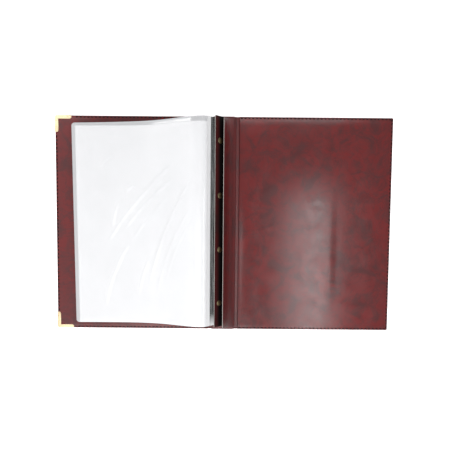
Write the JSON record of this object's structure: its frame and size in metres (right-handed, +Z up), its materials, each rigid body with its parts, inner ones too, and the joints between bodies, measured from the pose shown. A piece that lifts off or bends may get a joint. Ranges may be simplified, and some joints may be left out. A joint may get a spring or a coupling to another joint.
{
  "type": "coin album",
  "caption": "Leatherette album with metal cover corners and clear pocket leaves bound on slotted screw posts, lying open",
  "frame": {"origin": "on the table under the middle of the spine, halfway along its length", "axes": "+X from the front cover to the back cover, +Y to the head, +Z up; the album lies open and flat"},
  "size_m": [0.517, 0.329, 0.0363],
  "materials": {
    "leatherette": "mottled burgundy PVC leatherette, half gloss",
    "lining": "the same leatherette, smoother and glossier",
    "greyboard": "plain grey binder's board",
    "pale_gold": "pale gold plated sheet steel",
    "brass": "dull brass",
    "clear_film": "clear glossy film, slightly wrinkled",
    "stub_plastic": "layered film, whitish at the edge",
    "paper": "plain white paper"
  },
  "bodies": {
    "spine": {"spine_skin": "leatherette", "spine_board": "greyboard", "spine_lining": "lining", "back_hinge_web": "lining", "front_hinge_web": "lining"},
    "front_cover": {"front_skin": "leatherette", "front_board": "greyboard", "front_lining": "lining", "front_corner_head": "pale_gold", "front_corner_foot": "pale_gold"},
    "back_cover": {"back_skin": "leatherette", "back_board": "greyboard", "back_lining": "lining"},
    "binder": {"back_strip": "leatherette", "front_strip": "leatherette", "back_hinge_flap": "lining", "front_hinge_flap": "lining", "post_1": "brass", "post_2": "brass", "post_3": "brass", "post_4": "brass", "leaf_1_stub": "stub_plastic", "leaf_2_stub": "stub_plastic", "leaf_3_stub": "stub_plastic", "leaf_4_stub": "stub_plastic", "leaf_5_stub": "stub_plastic", "leaf_6_stub": "stub_plastic", "leaf_7_stub": "stub_plastic"},
    "leaf_1": {"leaf_1_upper_film": "clear_film", "leaf_1_paper": "paper", "leaf_1_lower_film": "clear_film"},
    "leaf_2": {"leaf_2_upper_film": "clear_film", "leaf_2_paper": "paper", "leaf_2_lower_film": "clear_film"},
    "leaf_3": {"leaf_3_upper_film": "clear_film", "leaf_3_paper": "paper", "leaf_3_lower_film": "clear_film"},
    "leaf_4": {"leaf_4_upper_film": "clear_film", "leaf_4_paper": "paper", "leaf_4_lower_film": "clear_film"},
    "leaf_5": {"leaf_5_upper_film": "clear_film", "leaf_5_paper": "paper", "leaf_5_lower_film": "clear_film"},
    "leaf_6": {"leaf_6_upper_film": "clear_film", "leaf_6_paper": "paper", "leaf_6_lower_film": "clear_film"},
    "leaf_7": {"leaf_7_upper_film": "clear_film", "leaf_7_paper": "paper", "leaf_7_lower_film": "clear_film"},
    "screw_1": {"screw_1": "brass"},
    "screw_2": {"screw_2": "brass"},
    "screw_3": {"screw_3": "brass"},
    "screw_4": {"screw_4": "brass"}
  },
  "joints": [
    {"name": "front_cover_fold", "type": "hinge", "parent": "spine", "child": "front_cover", "pos_m": [-0.02, 0, 0.0007], "axis": [0, 1, 0], "range_deg": [0, 90], "deforming": ["front_hinge_web"]},
    {"name": "back_cover_fold", "type": "hinge", "parent": "spine", "child": "back_cover", "pos_m": [0.02, 0, 0.0007], "axis": [0, -1, 0], "range_deg": [0, 90], "deforming": ["back_hinge_web"]},
    {"name": "binder_tilt", "type": "hinge", "parent": "spine", "child": "binder", "pos_m": [-0.0132, 0, 0.0046], "axis": [0, 1, 0], "range_deg": [0, 50]},
    {"name": "leaf_2_fold", "type": "hinge", "parent": "binder", "child": "leaf_2", "pos_m": [-0.02028, 0, 0.03397], "axis": [0, 1, 0], "range_deg": [0, 45.6]},
    {"name": "leaf_3_fold", "type": "hinge", "parent": "binder", "child": "leaf_3", "pos_m": [-0.02181, 0, 0.03215], "axis": [0, 1, 0], "range_deg": [0, 45.6]},
    {"name": "leaf_4_fold", "type": "hinge", "parent": "binder", "child": "leaf_4", "pos_m": [-0.02333, 0, 0.03033], "axis": [0, 1, 0], "range_deg": [0, 45.6]},
    {"name": "leaf_5_fold", "type": "hinge", "parent": "binder", "child": "leaf_5", "pos_m": [-0.02485, 0, 0.02851], "axis": [0, 1, 0], "range_deg": [0, 45.6]},
    {"name": "leaf_6_fold", "type": "hinge", "parent": "binder", "child": "leaf_6", "pos_m": [-0.02638, 0, 0.0267], "axis": [0, 1, 0], "range_deg": [0, 45.6]},
    {"name": "leaf_7_fold", "type": "hinge", "parent": "binder", "child": "leaf_7", "pos_m": [-0.0279, 0, 0.02488], "axis": [0, 1, 0], "range_deg": [0, 45.6]},
    {"name": "leaf_1_turn", "type": "hinge", "parent": "leaf_2", "child": "leaf_1", "pos_m": [-0.01876, 0, 0.03578], "axis": [0, -1, 0], "range_deg": [-194, 0]},
    {"name": "screw_1_turn", "type": "hinge", "parent": "binder", "child": "screw_1", "pos_m": [-0.00497, -0.118, 0.02732], "axis": [0.6428, 0, 0.766], "continuous": true},
    {"name": "screw_2_turn", "type": "hinge", "parent": "binder", "child": "screw_2", "pos_m": [-0.00497, -0.038, 0.02732], "axis": [0.6428, 0, 0.766], "continuous": true},
    {"name": "screw_3_turn", "type": "hinge", "parent": "binder", "child": "screw_3", "pos_m": [-0.00497, 0.042, 0.02732], "axis": [0.6428, 0, 0.766], "continuous": true},
    {"name": "screw_4_turn", "type": "hinge", "parent": "binder", "child": "screw_4", "pos_m": [-0.00497, 0.122, 0.02732], "axis": [0.6428, 0, 0.766], "continuous": true}
  ],
  "couplings": [
    {"joint": "binder_tilt", "follows": "front_cover_fold", "ratio": 0.55556},
    {"joint": "leaf_2_fold", "follows": "front_cover_fold", "ratio": 0.50667},
    {"joint": "leaf_3_fold", "follows": "front_cover_fold", "ratio": 0.50667},
    {"joint": "leaf_4_fold", "follows": "front_cover_fold", "ratio": 0.50667},
    {"joint": "leaf_5_fold", "follows": "front_cover_fold", "ratio": 0.50667},
    {"joint": "leaf_6_fold", "follows": "front_cover_fold", "ratio": 0.50667},
    {"joint": "leaf_7_fold", "follows": "front_cover_fold", "ratio": 0.50667}
  ]
}
